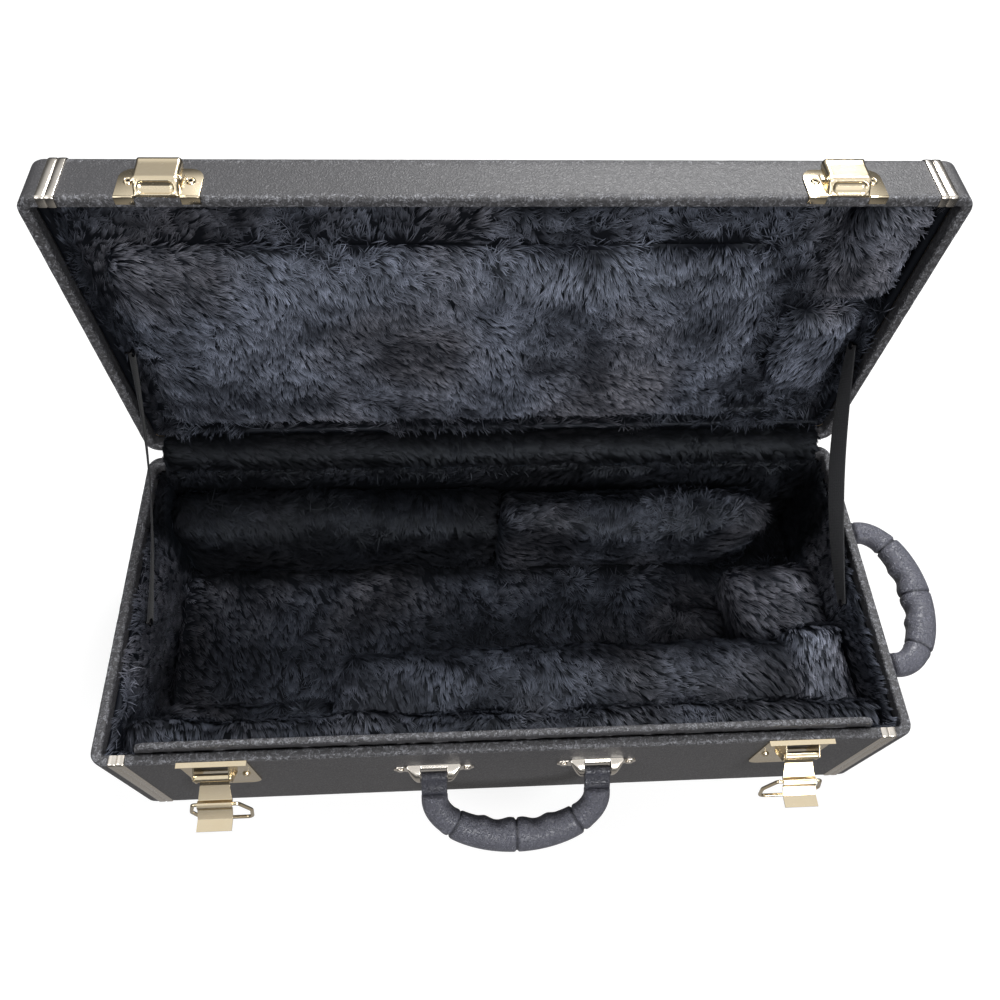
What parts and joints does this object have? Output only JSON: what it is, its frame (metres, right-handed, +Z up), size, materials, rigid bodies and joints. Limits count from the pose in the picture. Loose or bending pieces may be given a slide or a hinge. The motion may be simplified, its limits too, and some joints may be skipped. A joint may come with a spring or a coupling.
{
  "type": "instrument case",
  "caption": "Long rectangular hard case for a trumpet, its hinged lid open, with draw latches, two carrying handles, stay straps and a deep plush lining.",
  "frame": {"origin": "centre of the underside of the base", "axes": "+X to the right seen from the front, +Y from the latches to the hinges, +Z up"},
  "size_m": [0.6265, 0.3425, 0.3719],
  "materials": {
    "plywood": "raw",
    "leathercloth": "fine grain",
    "plush": "deep pile",
    "nickel": "nickel plate",
    "handle_plastic": "leather grain",
    "tape": "woven"
  },
  "bodies": {
    "base": {"base_shell": "plywood", "base_covering": "leathercloth", "base_band_left": "nickel", "base_band_right": "nickel", "front_lip": "leathercloth", "lip_nails": "nickel", "base_lining": "plush", "front_block": "plush", "front_shelf": "plush", "front_bolster": "plush", "back_block": "plush", "back_ridge": "plush", "end_block": "plush", "end_tongue": "plush", "valve_rest": "plush", "hinge_base_leaves": "nickel", "hinge_pins": "nickel", "hinge_screws_base": "nickel", "latch_plate_left": "nickel", "latch_plate_right": "nickel", "latch_pins": "nickel", "latch_rivets": "nickel", "front_handle_brackets": "nickel", "front_handle_axles": "nickel", "front_handle_screws": "nickel", "side_handle_brackets": "nickel", "side_handle_axles": "nickel", "side_handle_screws": "nickel", "stay_strap_left": "tape", "stay_strap_right": "tape", "strap_tacks_base": "nickel", "hinge_cover": "plush"},
    "lid": {"lid_shell": "plywood", "lid_covering": "leathercloth", "lid_band_left": "nickel", "lid_band_right": "nickel", "lid_lining": "plush", "lid_main_pad": "plush", "lid_front_pad": "plush", "lid_rear_pad": "plush", "hinge_lid_leaves": "nickel", "hinge_screws_lid": "nickel", "catch_left": "nickel", "catch_right": "nickel", "catch_rivets": "nickel", "strap_tacks_lid": "nickel"},
    "latch_lever_left": {"latch_lever_left": "nickel"},
    "latch_bail_left": {"latch_bail_left": "nickel"},
    "latch_lever_right": {"latch_lever_right": "nickel"},
    "latch_bail_right": {"latch_bail_right": "nickel"},
    "front_handle": {"front_handle_grip": "handle_plastic", "front_handle_tabs": "handle_plastic"},
    "side_handle": {"side_handle_grip": "handle_plastic", "side_handle_tabs": "handle_plastic"}
  },
  "joints": [
    {"name": "lid", "type": "hinge", "parent": "base", "child": "lid", "pos_m": [0, 0.1249, 0.1162], "axis": [-1, 0, 0], "range_deg": [-91, 0], "deforming": ["stay_strap_left", "stay_strap_right", "hinge_cover"]},
    {"name": "latch_lever_left", "type": "hinge", "parent": "base", "child": "latch_lever_left", "pos_m": [-0.2, -0.1305, 0.1075], "axis": [-1, 0, 0], "range_deg": [-56, 12]},
    {"name": "latch_bail_left", "type": "hinge", "parent": "latch_lever_left", "child": "latch_bail_left", "pos_m": [-0.2, -0.14465, 0.09325], "axis": [-1, 0, 0], "range_deg": [-50, 232.5]},
    {"name": "latch_lever_right", "type": "hinge", "parent": "base", "child": "latch_lever_right", "pos_m": [0.2, -0.1305, 0.1075], "axis": [-1, 0, 0], "range_deg": [-56, 12]},
    {"name": "latch_bail_right", "type": "hinge", "parent": "latch_lever_right", "child": "latch_bail_right", "pos_m": [0.2, -0.14465, 0.09325], "axis": [-1, 0, 0], "range_deg": [-50, 232.5]},
    {"name": "front_handle", "type": "hinge", "parent": "base", "child": "front_handle", "pos_m": [0.004, -0.1285, 0.078], "axis": [-1, 0, 0], "range_deg": [-37, 123]},
    {"name": "side_handle", "type": "hinge", "parent": "base", "child": "side_handle", "pos_m": [0.2865, 0, 0.078], "axis": [0, -1, 0], "range_deg": [-80, 80]}
  ],
  "couplings": [
    {"joint": "latch_bail_left", "follows": "latch_lever_left", "ratio": -4.1432},
    {"joint": "latch_bail_right", "follows": "latch_lever_right", "ratio": -4.1432}
  ]
}
